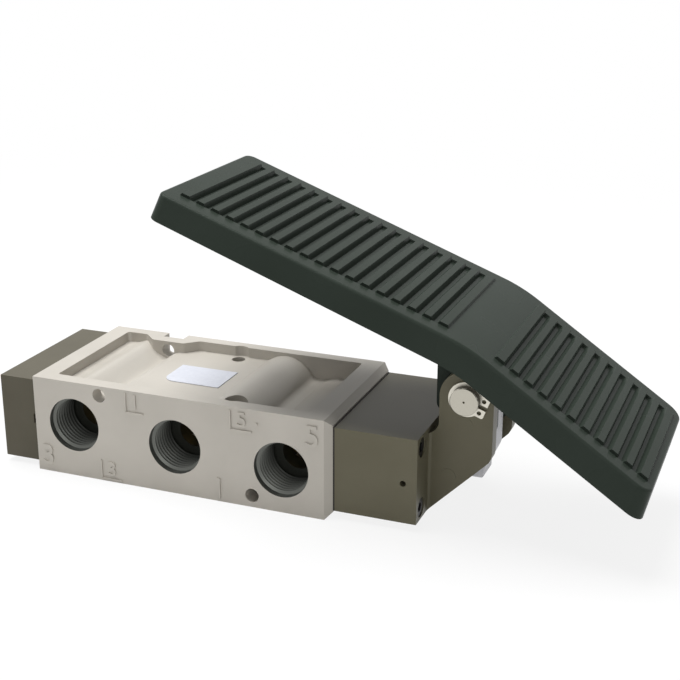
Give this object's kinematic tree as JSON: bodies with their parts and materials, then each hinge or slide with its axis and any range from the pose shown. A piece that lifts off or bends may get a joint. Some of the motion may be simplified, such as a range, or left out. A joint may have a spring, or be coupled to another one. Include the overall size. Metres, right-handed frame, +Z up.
{
  "type": "foot pedal air valve",
  "caption": "Foot pedal spool valve for compressed air: cast body with threaded ports, return end cap, bracket with a pivoted ribbed pedal that pulls the spool.",
  "frame": {"origin": "centre of the valve body's flat base", "axes": "+X along the body towards the pedal bracket, +Y towards the back, +Z up"},
  "size_m": [0.1947, 0.0584, 0.09],
  "materials": {
    "cast_body": "satin, nickel-coloured casting",
    "dark_casting": "satin, dark brown-grey",
    "pedal_paint": "semi-gloss, near black",
    "gasket": "matte",
    "black_screw": "black oxide, satin",
    "seal_rubber": "smooth",
    "spacer": "turned",
    "zinc_steel": "zinc plated",
    "bronze": "sintered",
    "bright_steel": "turned",
    "spool_metal": "polished",
    "spring_steel": "drawn wire",
    "lever_metal": "satin casting"
  },
  "bodies": {
    "valve": {"valve_body": "cast_body", "return_end_cap": "dark_casting", "cap_gasket": "gasket", "cap_screws": "black_screw", "pedal_bracket": "dark_casting", "bracket_gasket": "gasket", "bracket_screws": "black_screw", "spool_seals": "seal_rubber", "spool_spacers": "spacer", "stack_end_ring": "spacer", "spring_seat": "zinc_steel", "rod_bush": "bronze", "rod_wiper": "seal_rubber", "pivot_pin": "bright_steel", "pivot_circlips": "bright_steel"},
    "spool": {"spool": "spool_metal", "spool_rod": "bright_steel", "spring_retainer": "zinc_steel", "retainer_screw": "zinc_steel", "return_spring": "spring_steel"},
    "pedal": {"pedal": "pedal_paint", "pedal_lever": "lever_metal", "lever_bush": "bronze", "lever_lock_pin": "spring_steel", "link_pin": "bright_steel"}
  },
  "joints": [
    {"name": "pedal_pivot", "type": "hinge", "parent": "valve", "child": "pedal", "pos_m": [0.0822, 0, 0.0374], "axis": [0, -1, 0], "range_deg": [0, 13], "stiffness_Nm_per_rad": 2, "springref_deg": -14.32},
    {"name": "spool_slide", "type": "slide", "parent": "valve", "child": "spool", "axis": [1, 0, 0], "range_m": [0, 0.00526], "deforming": ["return_spring"]}
  ],
  "couplings": [
    {"joint": "spool_slide", "follows": "pedal_pivot", "m_per_rad": 0.023126}
  ]
}
